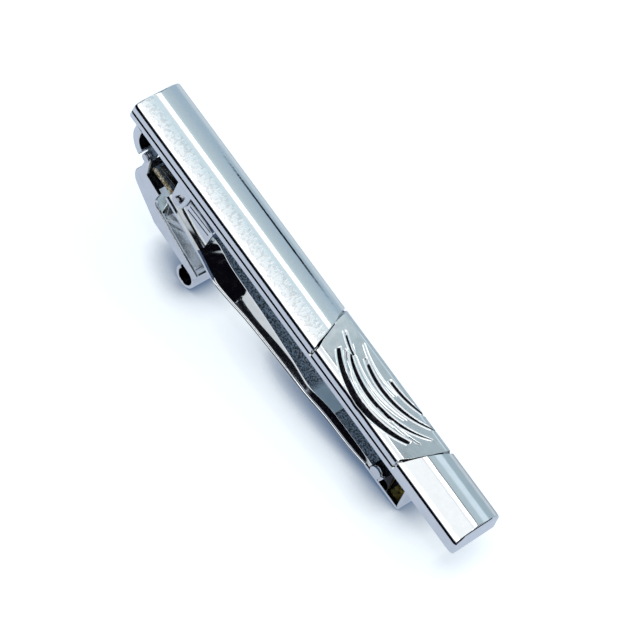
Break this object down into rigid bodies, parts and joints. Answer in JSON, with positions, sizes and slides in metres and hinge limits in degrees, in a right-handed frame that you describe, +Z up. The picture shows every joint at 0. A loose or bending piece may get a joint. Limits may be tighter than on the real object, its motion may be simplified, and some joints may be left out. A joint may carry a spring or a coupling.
{
  "type": "tie clip",
  "caption": "Tie clip: a domed bar with an engraved panel, gripped from behind by a sprung, toothed jaw that a folding thumb lever opens.",
  "frame": {"origin": "middle of the bounding box, at table level", "axes": "+Z up as the clip lies by itself on its lever's roll and the jaw's tip, +X from the hinge end to the free end, +Y across the bar"},
  "size_m": [0.0592, 0.0068, 0.0193],
  "materials": {
    "polished_front": "polished, satin on the front outside the panel",
    "plated_jaw": "bright plated pressing",
    "pressed_sheet": "bright plated pressing",
    "pin_steel": "plain",
    "spring_brass": "plain rolled strip"
  },
  "bodies": {
    "bar_body": {"bar": "polished_front", "hinge_bracket": "pressed_sheet", "jaw_pin": "pin_steel", "lever_pin": "pin_steel", "leaf_spring": "spring_brass"},
    "jaw": {"jaw_arm": "plated_jaw"},
    "lever": {"thumb_lever": "pressed_sheet"}
  },
  "joints": [
    {"name": "jaw_hinge", "type": "hinge", "parent": "bar_body", "child": "jaw", "pos_m": [-0.0202, 0, 0.01086], "axis": [0, 1, 0], "range_deg": [0, 9], "stiffness_Nm_per_rad": 0.02, "springref_deg": -28.65, "deforming": ["leaf_spring"]},
    {"name": "lever_hinge", "type": "hinge", "parent": "bar_body", "child": "lever", "pos_m": [-0.02601, 0, 0.01239], "axis": [0, -1, 0], "range_deg": [0, 4.2]}
  ],
  "couplings": [
    {"joint": "lever_hinge", "follows": "jaw_hinge", "ratio": 0.46}
  ]
}
